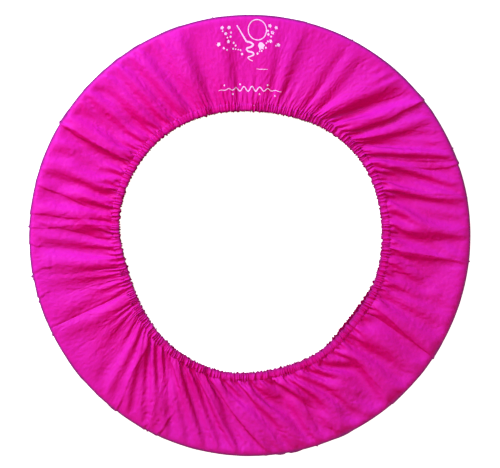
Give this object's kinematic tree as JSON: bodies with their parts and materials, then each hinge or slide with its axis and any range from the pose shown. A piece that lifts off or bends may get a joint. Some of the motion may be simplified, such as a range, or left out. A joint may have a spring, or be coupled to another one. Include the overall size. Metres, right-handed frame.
{
  "type": "rhythmic gymnastics hoop",
  "caption": "Rhythmic gymnastics hoop in a gathered fabric carrying cover, wrapped round the tube and drawn in to a central opening by elastic hems.",
  "frame": {"origin": "centre of the hoop, on the mid-plane of its tube, with the covered hoop lying flat", "axes": "+Z is the hoop's own axis, out of the printed front of the cover; +Y points from the centre to the print; +X is to the right when the print is upright"},
  "size_m": [0.8394, 0.8394, 0.0214],
  "materials": {
    "cover_fabric": "thin woven polyester taffeta, soft sheen",
    "sewing_thread": "spun polyester thread, matte",
    "elastic_band": "woven elastic, matte",
    "print_film": "heat-pressed film, satin",
    "hoop_plastic": "satin",
    "plug_plastic": "matte",
    "rivet_metal": "satin",
    "joint_tape": "satin"
  },
  "bodies": {
    "cover": {"cover_upper_strip": "cover_fabric", "cover_lower_strip": "cover_fabric", "right_seam_thread": "sewing_thread", "left_seam_thread": "sewing_thread", "front_elastic": "elastic_band", "back_elastic": "elastic_band", "front_elastic_tack": "sewing_thread", "back_elastic_tack": "sewing_thread", "front_hem_thread": "sewing_thread", "back_hem_thread": "sewing_thread", "print_emblem": "print_film", "print_stars_left": "print_film", "print_stars_right": "print_film", "print_flourish": "print_film"},
    "hoop": {"hoop_tube": "hoop_plastic", "joint_plug": "plug_plastic", "joint_rivet_left": "rivet_metal", "joint_rivet_right": "rivet_metal", "joint_tape": "joint_tape"}
  },
  "joints": [
    {"name": "hoop_turn", "type": "hinge", "parent": "cover", "child": "hoop", "pos_m": [0, 0, 0], "axis": [0, 0, 1], "continuous": true}
  ]
}
